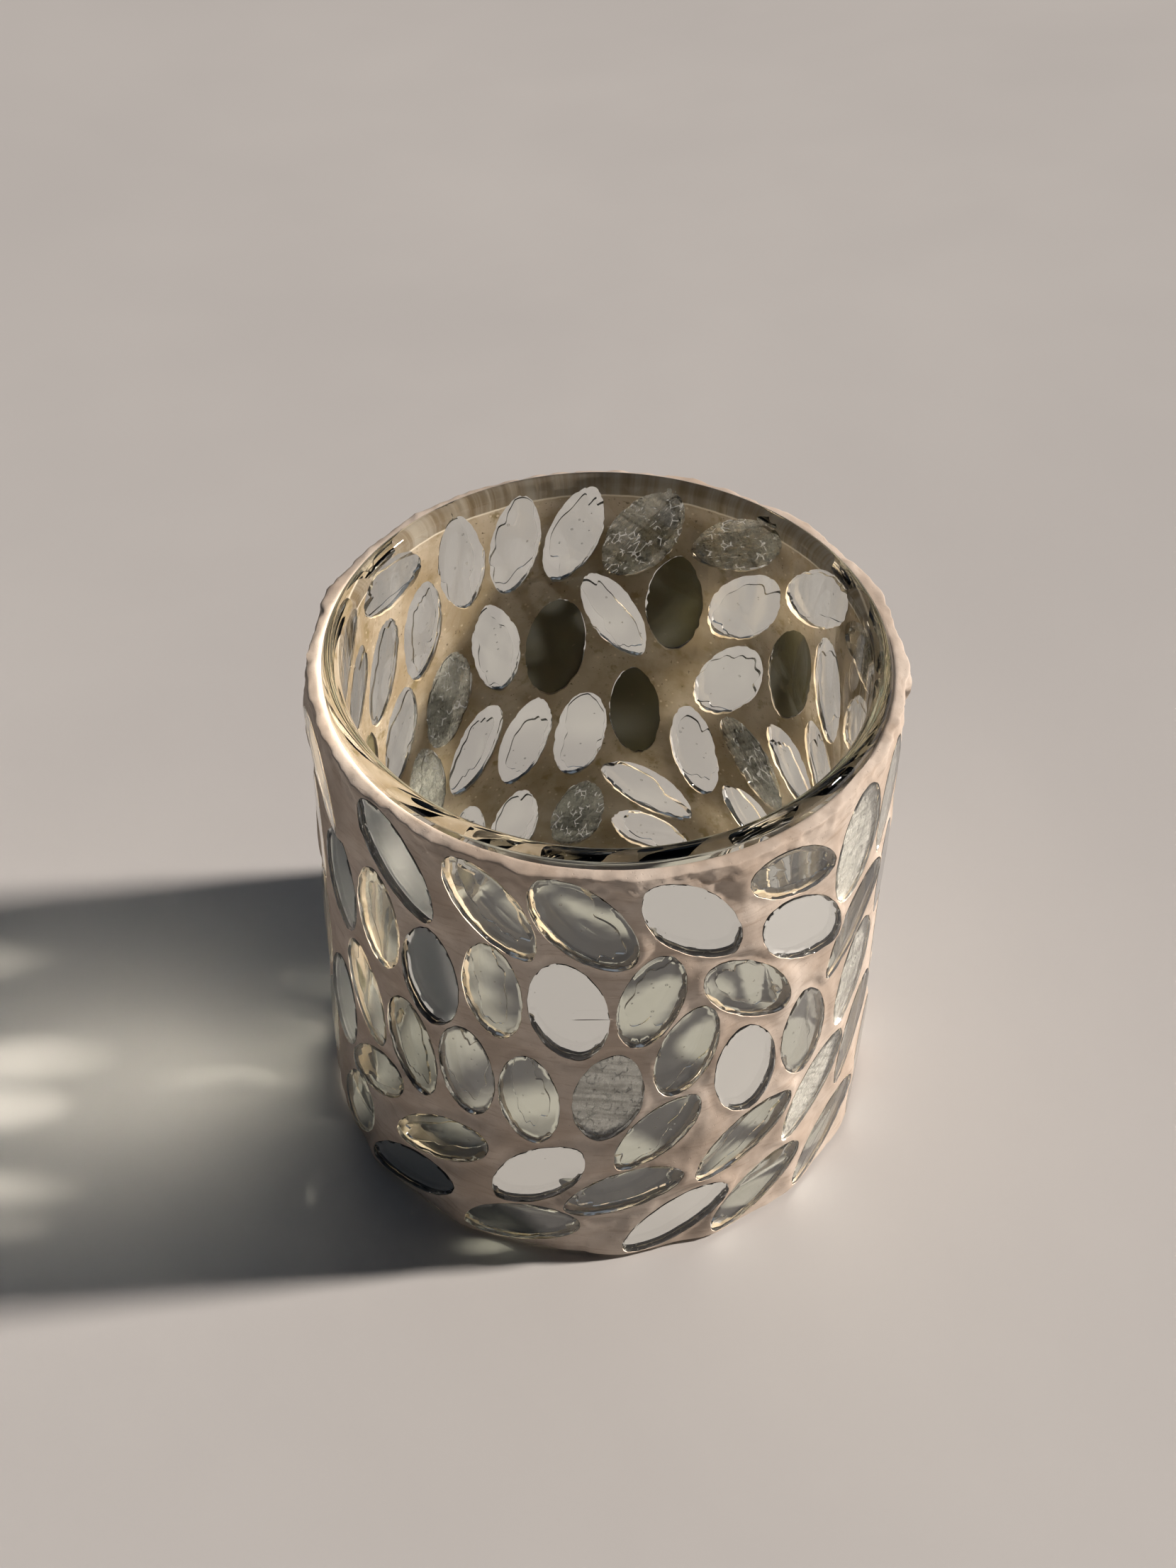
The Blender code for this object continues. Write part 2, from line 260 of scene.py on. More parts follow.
def ring_noise(turns, seed, lowest, highest, falling=1.0):
    """Smooth periodic noise of about unit size round a loop, from these whole numbers of waves."""
    rng = np.random.default_rng(seed)
    total, weight = np.zeros_like(turns), 0
    for k in range(lowest, highest + 1):
        size = k**-falling
        total += size * np.cos(k * turns + rng.uniform(0, math.tau))
        weight += size**2 / 2
    return total / math.sqrt(weight)


def smooth_step(x):
    x = np.clip(x, 0, 1)
    return x * x * (3 - 2 * x)


# ---- Outlines


def give_outline(tessera, number):
    """Gives the tessera its hand-nipped outline, in (across, along), and the tilt of its face."""
    rng = np.random.default_rng(SEEDS["outline"] + number)
    t = np.linspace(0, math.tau, OUTLINE, endpoint=False)
    a, b = tessera.half_length - TIP_TRIM, tessera.half_width + SIDE_GROWTH
    along = a * np.cos(t)
    ellipse = b * np.abs(np.sin(t))
    bend = (4 * a**2 + 4 * b**2) / (8 * b)
    lens = np.sqrt(bend**2 - along**2) - (bend - b)
    pointed = rng.uniform(*POINTED)
    width = (1 - pointed) * ellipse + pointed * np.maximum(lens, 0)
    across = -width * np.sign(np.sin(t))
    swell = 1 + SWELL * ring_noise(t, SEEDS["swell"] + number, 2, 5, 0.8).clip(-2, 1)
    outline = np.stack((across, along), axis=-1) * swell[:, None]
    tessera.turns = t
    tessera.inward = inward_of(outline)
    nips = NIP * ring_noise(t, SEEDS["nips"] + number, 6, 24, 0.4)
    tessera.outline = outline + tessera.inward * np.clip(nips, -0.05 * MM, 0.2 * MM)[:, None]
    tessera.tilt = rng.uniform(-1, 1, 2) * MOST_TILT


def inward_of(outline):
    """Unit vectors that point into an outline that runs anticlockwise."""
    ahead = np.roll(outline, -1, axis=0) - np.roll(outline, 1, axis=0)
    inward = np.stack((-ahead[:, 1], ahead[:, 0]), axis=-1)
    return inward / np.linalg.norm(inward, axis=1)[:, None]


def inset(tessera, distance):
    """The outline moved in by a distance for each point."""
    distance = np.broadcast_to(distance, tessera.turns.shape)
    return tessera.outline + tessera.inward * distance[:, None]


def drawn_in(tessera, distance):
    """The outline drawn towards its middle by a distance for each point: its tips never fold."""
    reach = np.linalg.norm(tessera.outline, axis=1)
    return tessera.outline * (1 - np.broadcast_to(distance, reach.shape) / reach)[:, None]


def wrapped(x):
    """Arc lengths round the cup, brought to within half a turn of zero."""
    return (x + GIRTH / 2) % GIRTH - GIRTH / 2


def spread_out():
    """Each outline grows a little where its neighbours and the grout's edges leave it room."""
    unrolled = [t.unrolled(t.leaning(t.outline), FACE_RADIUS) for t in TESSERAE]
    rooms = []
    for outline in unrolled:
        room = MOST_GROWTH
        for other in unrolled:
            if other is outline:
                continue
            offset = other[:, None] - outline
            offset[..., 0] = wrapped(offset[..., 0])
            gap = np.hypot(offset[..., 0], offset[..., 1]).min()
            room = min(room, (gap - LEAST_JOINT) / 2)
        above = GROUT_HIGH.z - RIM_BAND - outline[:, 1].max()
        below = outline[:, 1].min() - GROUT_LOW.z - FOOT_BAND
        rooms.append(max(0, min(room, min(above, below) - LEAST_EDGE)))
    for t, room in zip(TESSERAE, rooms):
        t.outline = t.outline - t.inward * room


for number, tessera in enumerate(TESSERAE):
    tessera.number = number
    give_outline(tessera, number)
spread_out()


# ---- Materials

MATERIALS = {}
GLASS_IOR = 1.5

# Colours, linear
SILVER, TARNISH = (0.93, 0.935, 0.94), (0.12, 0.10, 0.08)
DARK_PAINT, PALE_PAINT, PAINT_SPECK = (0.10, 0.086, 0.036), (0.135, 0.114, 0.052), (0.2, 0.17, 0.1)
# the near black of a mirror's nipped side is painted shade, standing for its dark crescents
EDGE_PAINTED_SHADE, BARE_CHIP = (0.006, 0.006, 0.005), (0.8, 0.78, 0.72)
DULL_FOIL, BRIGHT_FOIL, PINHOLE = (0.50, 0.48, 0.44), (0.95, 0.93, 0.89), (0.09, 0.08, 0.06)
TAN_GROUT, CREAM_GROUT = (0.58, 0.47, 0.38), (0.77, 0.665, 0.57)
STROKE, SAND = (0.46, 0.35, 0.265), (0.36, 0.29, 0.235)
# the damp colours are darker and more olive than the outside grout: partly damp glue, partly painted
# shade of the unlit inside
DAMP_SHADED_BROWN, DAMP_SHADED_CREAM, DAMP_SHADED_OLIVE = (0.37, 0.285, 0.18), (0.53, 0.44, 0.33), (0.27, 0.205, 0.10)
# the pale line colour is a painted highlight of the rim's inner edge, and the two band colours below
# are painted shade under the rim
DAMP_SAND, PALE_PIT, PAINTED_HIGHLIGHT_LINE = (0.10, 0.07, 0.035), (0.62, 0.52, 0.38), (0.78, 0.70, 0.57)
RIM_SHADE_DARK, RIM_SHADE_PALE = (0.20, 0.15, 0.09), (0.36, 0.32, 0.26)


class Nodes:
    """A material's node tree, built with short calls."""

    def __init__(self, name):
        self.material = MATERIALS[name] = bpy.data.materials.new(name)
        self.material.use_nodes = True
        self.tree = self.material.node_tree
        self.shader = self.tree.nodes["Principled BSDF"]
        self.output = self.tree.nodes["Material Output"]
        self.place = self.add("ShaderNodeTexCoord").outputs["Object"]

    def add(self, kind, **inputs):
        node = self.tree.nodes.new(kind)
        for key, value in inputs.items():
            self.put(node.inputs[key.replace("_", " ")], value)
        return node

    def put(self, socket, value):
        if isinstance(value, bpy.types.NodeSocket):
            self.tree.links.new(value, socket)
        else:
            socket.default_value = value

    def set(self, **inputs):
        for key, value in inputs.items():
            self.put(self.shader.inputs[key.replace("_", " ")], value)

    def stretched(self, scale):
        return self.add("ShaderNodeMapping", Vector=self.place, Scale=scale).outputs[0]

    def noise(self, scale, detail=4, roughness=0.55, at=None, distortion=0):
        node = self.add("ShaderNodeTexNoise", Vector=at or self.place, Scale=scale, Detail=detail,
                        Roughness=roughness, Distortion=distortion)
        return node.outputs["Fac"]

    def cells(self, scale, feature="F1", at=None):
        node = self.add("ShaderNodeTexVoronoi", Vector=at or self.place, Scale=scale)
        node.feature = feature
        return node.outputs["Distance"]

    def between(self, value, low, high, to_low=0.0, to_high=1.0):
        node = self.add("ShaderNodeMapRange", Value=value)
        node.interpolation_type = "SMOOTHSTEP"
        limits = {"From Min": low, "From Max": high, "To Min": to_low, "To Max": to_high}
        for key, number in limits.items():
            node.inputs[key].default_value = number
        return node.outputs[0]

    def math(self, operation, first, second):
        node = self.tree.nodes.new("ShaderNodeMath")
        node.operation = operation
        self.put(node.inputs[0], first)
        self.put(node.inputs[1], second)
        return node.outputs[0]

    def mix(self, share, first, second):
        node = self.tree.nodes.new("ShaderNodeMix")
        node.data_type = "RGBA"
        self.put(node.inputs["Factor"], share)
        for socket, colour in ((node.inputs["A"], first), (node.inputs["B"], second)):
            self.put(socket, colour if isinstance(colour, bpy.types.NodeSocket) else (*colour, 1))
        return node.outputs["Result"]

    def bump(self, height, distance, strength=1.0, normal=None):
        node = self.add("ShaderNodeBump", Height=height, Distance=distance, Strength=strength)
        if normal is not None:
            self.put(node.inputs["Normal"], normal)
        return node.outputs[0]

    def glass(self, colour, tint):
        """Clear glass. Shadow rays pass it unbent and lightly tinted, so what is behind it is lit."""
        self.set(Base_Color=(*colour, 1), IOR=GLASS_IOR, Transmission_Weight=1.0)
        clear = self.add("ShaderNodeBsdfTransparent", Color=(*tint, 1))
        mixed = self.add("ShaderNodeMixShader")
        self.put(mixed.inputs[0], self.add("ShaderNodeLightPath").outputs["Is Shadow Ray"])
        self.put(mixed.inputs[1], self.shader.outputs[0])
        self.put(mixed.inputs[2], clear.outputs[0])
        self.put(self.output.inputs["Surface"], mixed.outputs[0])

    def absorb(self, colour, density):
        """The colour that light takes on in its depth."""
        volume = self.add("ShaderNodeVolumeAbsorption", Color=(*colour, 1), Density=density)
        self.put(self.output.inputs["Volume"], volume.outputs[0])


def cup_glass():
    """Clear blown glass with a faint green depth, smears and shallow ripples."""
    n = Nodes("cup_glass")
    smear = n.noise(60, 5, 0.6, n.stretched((1, 1, 0.35)))
    n.glass((0.99, 0.993, 0.986), (0.985, 0.988, 0.978))
    n.set(Roughness=n.between(smear, 0.5, 0.85, 0.0, 0.06))
    ripple = n.noise(45, 2, 0.4, n.stretched((1, 1, 0.3)))
    n.set(Normal=n.bump(ripple, 0.02 * MM, 0.6))
    n.absorb((0.82, 0.9, 0.74), 10)


def clear_glass():
    """Hand-cut glass, deeper in colour than the cup's, with slow waves and faint scratches."""
    n = Nodes("clear_glass")
    scratches = n.noise(900, 2, 0.5, n.stretched((1, 0.06, 1)))
    n.glass((0.99, 0.993, 0.984), (0.98, 0.984, 0.97))
    n.set(Roughness=n.between(scratches, 0.62, 0.8, 0.0, 0.12))
    waves = n.noise(160, 2, 0.4)
    n.set(Normal=n.bump(waves, 0.03 * MM, 0.8))
    n.absorb((0.84, 0.88, 0.78), 30)


def mirror_front():
    """The clear glass over a mirror's silver, polished and flat."""
    n = Nodes("mirror_glass_front")
    n.glass((0.99, 0.99, 0.985), (0.98, 0.985, 0.97))
    dust = n.noise(420, 4, 0.6)
    n.set(Roughness=n.between(dust, 0.6, 0.8, 0.0, 0.05))
    n.set(Normal=n.bump(n.noise(60, 1, 0.3), 0.004 * MM, 1.0))
    n.absorb((0.8, 0.88, 0.7), 30)


def silver():
    """Silvering on the back of the glass, bright, with pinholes and hair scratches."""
    n = Nodes("silvering")
    hairs = n.noise(700, 2, 0.5, n.stretched((0.05, 1, 1)), 0.3)
    specks = n.cells(520)
    lost = n.math("MAXIMUM", n.between(hairs, 0.755, 0.78), n.between(specks, 0.05, 0.03))
    n.set(Base_Color=n.mix(lost, SILVER, TARNISH))
    n.set(Metallic=n.between(lost, 0.4, 0.6, 1.0, 0.0))
    n.set(Roughness=n.between(n.noise(130, 3), 0.45, 0.8, 0.015, 0.06))
    n.set(Normal=n.bump(n.noise(220, 2, 0.4), 0.003 * MM, 1.0))


def backing_paint():
    """The olive-brown paint over the silver."""
    n = Nodes("backing_paint")
    patches = n.noise(110, 5, 0.6)
    specks = n.noise(900, 2, 0.5)
    colour = n.mix(n.between(patches, 0.35, 0.7), DARK_PAINT, PALE_PAINT)
    colour = n.mix(n.between(specks, 0.68, 0.75), colour, PAINT_SPECK)
    n.set(Base_Color=colour, Roughness=n.between(patches, 0.3, 0.7, 0.35, 0.6))
    n.set(Normal=n.bump(specks, 0.02 * MM, 0.6))


def painted_shade_edge():
    """A mirror's nipped side, painted near black as painted shade over the rough glass, with bright
    metallic chips.
    """
    n = Nodes("painted_shade_edge")
    chips = n.noise(800, 3, 0.6)
    bright = n.between(chips, 0.6, 0.64)
    n.set(Base_Color=n.mix(bright, EDGE_PAINTED_SHADE, BARE_CHIP))
    n.set(Metallic=n.between(bright, 0.4, 0.6, 0.0, 1.0), Roughness=0.15)
    n.set(Specular_IOR_Level=0.15)
    n.set(Normal=n.bump(chips, 0.15 * MM, 0.8))


def crackle_foil():
    """The dull silver crackle behind a textured tessera: creased, streaky and full of pinholes."""
    n = Nodes("crackle_foil")
    creases = n.cells(800, "DISTANCE_TO_EDGE", n.stretched((1, 0.5, 1)))
    grains = n.noise(1700, 3, 0.6, n.stretched((1, 0.5, 1)))
    streaks = n.noise(750, 4, 0.7, n.stretched((0.09, 1, 1)))
    colour = n.mix(n.between(streaks, 0.36, 0.56), DULL_FOIL, BRIGHT_FOIL)
    colour = n.mix(n.between(grains, 0.63, 0.72), colour, PINHOLE)
    n.set(Base_Color=colour, Metallic=0.6)
    n.set(Roughness=n.between(grains, 0.3, 0.7, 0.18, 0.42))
    height = n.math("ADD", n.math("MULTIPLY", creases, 0.8), n.math("MULTIPLY", streaks, 0.4))
    n.set(Normal=n.bump(height, 0.25 * MM, 0.9))
    cracks = n.math("MULTIPLY", n.between(creases, 0.08, 0.03), n.between(n.noise(420, 2), 0.5, 0.58))
    worn = n.between(n.noise(1300, 3, 0.7, n.stretched((1, 0.25, 1))), 0.6, 0.68)
    n.set(Alpha=n.between(n.math("MAXIMUM", cracks, worn), 0, 1, 1, 0.2))


def textured_front():
    """The rippled glass of a textured tessera."""
    n = Nodes("textured_glass_front")
    ripple = n.noise(260, 3, 0.6, n.stretched((1, 0.25, 1)))
    n.glass((0.93, 0.94, 0.93), (0.97, 0.975, 0.96))
    n.set(Roughness=n.between(ripple, 0.3, 0.8, 0.05, 0.25))
    n.set(Normal=n.bump(ripple, 0.1 * MM, 0.8))
    n.absorb((0.84, 0.88, 0.76), 40)


def grout_outside():
    """Cream cement, rubbed smooth with a damp cloth: faint strokes, mottling and pinholes."""
    n = Nodes("cream_grout")
    strokes = n.noise(420, 4, 0.65, n.stretched((0.35, 0.35, 3.2)), 0.4)
    mottle = n.noise(75, 5, 0.6)
    sand = n.noise(2200, 3, 0.7)
    pits = n.cells(900)
    colour = n.mix(n.between(mottle, 0.35, 0.68), TAN_GROUT, CREAM_GROUT)
    colour = n.mix(n.between(strokes, 0.5, 0.72, 0, 0.6), colour, STROKE)
    colour = n.mix(n.between(sand, 0.62, 0.78), colour, SAND)
    n.set(Base_Color=colour, Roughness=n.between(strokes, 0.3, 0.8, 0.68, 0.9))
    n.set(Specular_IOR_Level=0.35)
    grain = n.bump(sand, 0.03 * MM, 0.7)
    rubbed = n.bump(strokes, 0.06 * MM, 0.8, grain)
    n.set(Normal=n.bump(n.between(pits, 0.06, 0.16), 0.05 * MM, 0.5, rubbed))


def grout_inside():
    """The same cement where it set against the cup: damp brown and olive, darker than outside partly as
    painted shade, with sand and pits.

    Under the rim it is streaked and painted darker and greyer as painted shade, above a pale painted
    highlight line."""
    n = Nodes("grout_against_cup")
    patches = n.noise(90, 5, 0.62)
    sand = n.noise(1300, 3, 0.7)
    colour = n.mix(n.between(patches, 0.38, 0.66), DAMP_SHADED_BROWN, DAMP_SHADED_CREAM)
    colour = n.mix(n.between(n.noise(260, 4, 0.6), 0.55, 0.7), colour, DAMP_SHADED_OLIVE)
    colour = n.mix(n.between(sand, 0.62, 0.72), colour, DAMP_SAND)
    colour = n.mix(n.between(n.cells(520), 0.16, 0.1), colour, PALE_PIT)
    height = n.add("ShaderNodeSeparateXYZ", Vector=n.place).outputs["Z"]
    wander = n.math("MULTIPLY", n.noise(90, 4, 0.6), 0.9 * MM)
    height = n.math("ADD", height, wander)
    streaks = n.noise(260, 4, 0.7, n.stretched((1, 1, 0.08)))
    # painted shade: a darker, greyer streaked band under the rim, over a painted highlight line
    rim_shade = n.mix(n.between(streaks, 0.35, 0.65), RIM_SHADE_DARK, RIM_SHADE_PALE)
    colour = n.mix(n.between(height, BAND_FOOT - 0.25 * MM, BAND_FOOT), colour, PAINTED_HIGHLIGHT_LINE)
    colour = n.mix(n.between(height, BAND_FOOT + 0.1 * MM, BAND_FOOT + 0.35 * MM), colour, rim_shade)
    n.set(Base_Color=colour, Roughness=0.55)
    n.set(Normal=n.bump(sand, 0.04 * MM, 0.7))


def glue():
    """Clear resin, hazy in places."""
    n = Nodes("clear_glue")
    n.glass((0.995, 0.995, 0.99), (0.985, 0.987, 0.978))
    n.set(Roughness=n.between(n.noise(300, 3), 0.4, 0.8, 0.0, 0.08))


for make in (
    cup_glass, clear_glass, mirror_front, silver, backing_paint, painted_shade_edge, crackle_foil,
    textured_front, grout_outside, grout_inside, glue,
):
    make()


# ---- Meshes


def placed(name, data):
    """A new object in the scene."""
    obj = bpy.data.objects.new(name, data)
    bpy.context.scene.collection.objects.link(obj)
    return obj


class Builder:
    """Collects points and faces, with a material for each face, into one object."""

    def __init__(self, name, materials):
        self.name, self.materials = name, materials
        self.points, self.faces, self.slots = [], [], []
        self.count = 0

    def add(self, points):
        """Adds points and returns their numbers."""
        points = np.asarray(points).reshape(-1, 3)
        self.points.append(points)
        first = self.count
        self.count += len(points)
        return np.arange(first, self.count)

    def face(self, corners, slot=0):
        self.faces += [tuple(int(c) for c in face) for face in corners]
        self.slots += [slot] * len(corners)

    def strip(self, lower, upper, slot=0):
        """Quads between two equal rings. Seen from the side they face, the rings run left to right."""
        after_low, after_high = np.roll(lower, -1), np.roll(upper, -1)
        self.face(np.stack((lower, after_low, after_high, upper), axis=1), slot)

    def fan(self, ring, centre, slot=0):
        self.face(np.stack((ring, np.roll(ring, -1), np.full(len(ring), centre)), axis=1), slot)

    def build(self, smooth_angle=40, axes=None):
        """The finished object. With axes, its own coordinates are turned to them."""
        mesh = bpy.data.meshes.new(self.name)
        axes = np.eye(3) if axes is None else axes
        mesh.from_pydata((np.concatenate(self.points) @ axes.T).tolist(), [], self.faces)
        for name in self.materials:
            mesh.materials.append(MATERIALS[name])
        mesh.polygons.foreach_set("material_index", self.slots)
        mesh.shade_smooth()
        mesh.set_sharp_from_angle(angle=math.radians(smooth_angle))
        mesh.update()
        obj = placed(self.name, mesh)
        obj.matrix_world = Matrix(axes.T.tolist()).to_4x4()
        return obj


def finish_piece(obj, nodes=()):
    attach(obj, "root")
    if nodes:
        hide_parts(*nodes)


def middle_point(builder, tessera, depth):
    return builder.add(tessera.in_space(np.zeros((1, 2)), depth))[0]


def close_plate(builder, fronts, backs, front_middle, back_middle, slot=0):
    """The faces of a thin closed body, from its front and back rings from the outside in."""
    builder.strip(backs[0], fronts[0], slot)
    for outer, inner in zip(fronts, fronts[1:]):
        builder.strip(outer, inner, slot)
    for outer, inner in zip(backs, backs[1:]):
        builder.strip(inner, outer, slot)
    builder.fan(fronts[-1], front_middle, slot)
    builder.fan(backs[-1][::-1], back_middle, slot)


def oval_body(builder, tessera, front_slot=0, back_slot=0, back_edge=None, side_slot=0):
    """The nipped glass: face, bevel, side in rough facets, and back, which may have a coated middle."""
    t = tessera.turns
    lean = tessera.leaning

    def ring(outline, depth):
        return builder.add(tessera.in_space(lean(outline), depth))

    seed = SEEDS["side"] + 10 * tessera.number
    edge = GLASS_EDGE * (1 + 0.45 * ring_noise(t, seed, 3, 16, 0.3))
    chips = np.clip(ring_noise(t, seed + 1, 4, 20, 0.2) - 1.4, 0, 1) * MOST_CHIP
    face_ring = inset(tessera, edge + chips)
    rings = [ring(face_ring, 0)]
    for level, depth in enumerate(SIDE_DEPTHS):
        wander = 0.8 * ring_noise(t, seed + 2, 2, 8, 0.5)
        wander = wander + 0.35 * ring_noise(t, seed + 3 + level, 4, 22, 0.4)
        inward = EDGE_FACETS * np.clip(0.4 + 0.5 * wander, 0, 1.3)
        inward = inward * (0.25 if level == 0 else 1)
        rings.append(ring(inset(tessera, inward), depth * MM + 0.3 * chips))
    back_chips = EDGE_FACETS * np.clip(ring_noise(t, seed + 9, 4, 18, 0.3), 0, 1)
    back_ring = inset(tessera, BACK_BEVEL + back_chips)
    rings.append(ring(back_ring, THICKNESS))
    for level, (upper, lower) in enumerate(zip(rings, rings[1:])):
        builder.strip(lower, upper, front_slot if level < 2 else side_slot)

    inner = rings[0]
    for scale in FACE_SCALES:
        next_ring = ring(face_ring * scale, 0)
        builder.strip(inner, next_ring, front_slot)
        inner = next_ring
    builder.fan(inner, middle_point(builder, tessera, 0), front_slot)

    outer = rings[-1]
    if back_edge is not None:
        back_ring = drawn_in(tessera, back_edge)
        coat = ring(back_ring, THICKNESS)
        builder.strip(coat, outer, front_slot)
        outer = coat
    for scale in FACE_SCALES:
        next_ring = ring(back_ring * scale, THICKNESS)
        builder.strip(next_ring, outer, back_slot)
        outer = next_ring
    builder.fan(outer[::-1], middle_point(builder, tessera, THICKNESS), back_slot)


def coating_plate(builder, tessera, edge, depth, thickness, slot, relief=0.0):
    """A thin plate behind a tessera: the paint over the silver, or the foil with its relief."""
    outline = drawn_in(tessera, edge)

    def ring(scale, behind):
        spots = tessera.leaning(outline * scale)
        places = tessera.in_space(spots, behind)
        if relief:
            places = tessera.in_space(spots, behind + relief * wave_noise(places, 1.1 * MM, 77))
        return builder.add(places)

    scales = (1, 0.97, 0.9, 0.8, 0.7, 0.6, 0.5, 0.4, 0.3, 0.2, 0.1) if relief else (1, 0.6, 0.25)
    planes = depth, depth + thickness
    sides = [[ring(s, behind) for s in scales] for behind in planes]
    middles = [middle_point(builder, tessera, behind) for behind in planes]
    close_plate(builder, *sides, *middles, slot)


def silver_edge(tessera):
    """How far the silver stops from the tessera's edge: a wavy line with chips."""
    t = tessera.turns
    seed = SEEDS["silver"] + 10 * tessera.number
    chips = np.clip(ring_noise(t, seed, 3, 30, 0.2) - 1.3, 0, 1.5) * 0.35 * MM
    wavy = 0.14 * MM * ring_noise(t, seed + 1, 1, 3, 0.6)
    edge = np.clip(SILVER_INSET + wavy, 0.15 * MM, 1.0 * MM) + chips
    if abs(tessera.azimuth - BITTEN_AZIMUTH) < 0.08 and abs(tessera.height - BITTEN_HEIGHT) < 3 * MM:
        edge += BITE * np.exp(-(((t - BITE_TURN) / BITE_SPREAD) ** 4))
    return edge


def mirror_piece(tessera):
    materials = ["mirror_glass_front", "silvering", "backing_paint", "painted_shade_edge"]
    builder = Builder(f"mirror_oval_piece_{tessera.number:03d}", materials)
    edge = silver_edge(tessera)
    oval_body(builder, tessera, back_slot=1, back_edge=edge, side_slot=3)
    coating_plate(builder, tessera, edge, THICKNESS + PAINT_GAP, PAINT_THICKNESS, 2)
    return builder


def clear_piece(tessera, builder=None):
    builder = builder or Builder(f"clear_oval_piece_{tessera.number:03d}", ["clear_glass"])
    oval_body(builder, tessera)
    return builder


def textured_piece(tessera):
    materials = ["textured_glass_front", "crackle_foil"]
    builder = Builder(f"textured_oval_piece_{tessera.number:03d}", materials)
    oval_body(builder, tessera)
    ragged = 0.12 * MM * ring_noise(tessera.turns, SEEDS["foil"] + tessera.number, 2, 20, 0.4)
    edge = np.clip(FOIL_INSET + ragged, 0.05 * MM, 1 * MM)
    coating_plate(builder, tessera, edge, THICKNESS + FOIL_GAP, FOIL_THICKNESS, 1, FOIL_RELIEF)
    return builder


# ---- The cup

WALL_WAVE, RIM_DIP = 0.05 * MM, 0.09 * MM  # how far its inner side wanders, and its rim dips


def arc(centre, radius, first, last, steps):
    """Points along an arc between two directions in degrees."""
    turns = np.radians(np.linspace(first, last, steps + 1))
    x, y = centre[0] + radius * np.cos(turns), centre[1] + radius * np.sin(turns)
    return list(np.stack((x, y), axis=1))


def cup_piece():
    """The tumbler: turned, with the slow waviness of blown glass and a fire-polished rim."""
    fillet, foot = 4 * MM, 2.5 * MM
    flat = (6, 14, 22, 30, 36)  # mm, radii of the rings across its floor and under its base
    profile = [(r * MM, SEAT) for r in flat]
    profile += arc((CUP_INNER - fillet, SEAT + fillet), fillet, -90, 0, 8)
    profile += [(CUP_INNER, z * MM) for z in range(14, 97, 4)]
    profile += arc((CUP_RADIUS - WALL / 2, HEIGHT - WALL / 2), WALL / 2, 180, 0, 20)
    profile += [(CUP_RADIUS, z * MM) for z in range(94, 5, -4)]
    profile += arc((CUP_RADIUS - foot, foot), foot, 0, -90, 8)
    profile += [(r * MM, 0) for r in (40, *flat[::-1])]
    profile = np.array(profile)
    outside = np.arange(len(profile)) > len(profile) // 2

    builder = Builder("blown_glass_cup", ["cup_glass"])
    turns = np.linspace(0, math.tau, TURNS, endpoint=False)
    around = np.stack((np.cos(turns), np.sin(turns)), axis=1)
    rings = []
    for (radius, height), outer in zip(profile, outside):
        ring = np.column_stack((around * radius, np.full(TURNS, height)))
        rise = smooth_step((height - (HEIGHT - 2.4 * MM)) / (2 * MM))
        if not outer:
            slack = WALL_WAVE * smooth_step((height - SEAT) / fillet) * (1 - rise)
            ring[:, :2] += around * (slack * wave_noise(ring, 26 * MM, 12, 10))[:, None]
        ring[:, 2] += rise * -RIM_DIP * (1 + ring_noise(turns, 13, 1, 6, 0.8) * 0.6).clip(0, 2)
        rings.append(builder.add(ring))
    for lower, upper in zip(rings, rings[1:]):
        builder.strip(lower[::-1], upper[::-1])
    builder.fan(rings[0], builder.add([(0, 0, SEAT)])[0])
    builder.fan(rings[-1][::-1], builder.add([(0, 0, 0)])[0])
    return builder


# ---- The grout


def inside_outline(points, outline):
    """Which points are inside a closed outline."""
    x, y = points[:, 0][:, None], points[:, 1][:, None]
    x0, y0 = outline[:, 0][None], outline[:, 1][None]
    x1, y1 = np.roll(x0, -1, axis=1), np.roll(y0, -1, axis=1)
    crosses = (y0 > y) != (y1 > y)
    with np.errstate(divide="ignore", invalid="ignore"):
        at = x0 + (y - y0) * (x1 - x0) / (y1 - y0)
    return (crosses & (x < at)).sum(axis=1) % 2 == 1


def gaps(points, outline):
    """How far each point is from the nearest point of an outline."""
    return np.hypot(*(points[:, None] - outline).transpose(2, 0, 1)).min(axis=1)


def near(points, outline, reach):
    """Numbers of the points within reach of an outline's box, and each one's copy nearest to it."""
    middle = (outline.max(axis=0) + outline.min(axis=0)) / 2
    half = (outline.max(axis=0) - outline.min(axis=0)) / 2 + reach
    offset = points - middle
    offset[:, 0] = wrapped(offset[:, 0])
    close = np.nonzero((np.abs(offset) < half).all(axis=1))[0]
    return close, offset[close] + middle


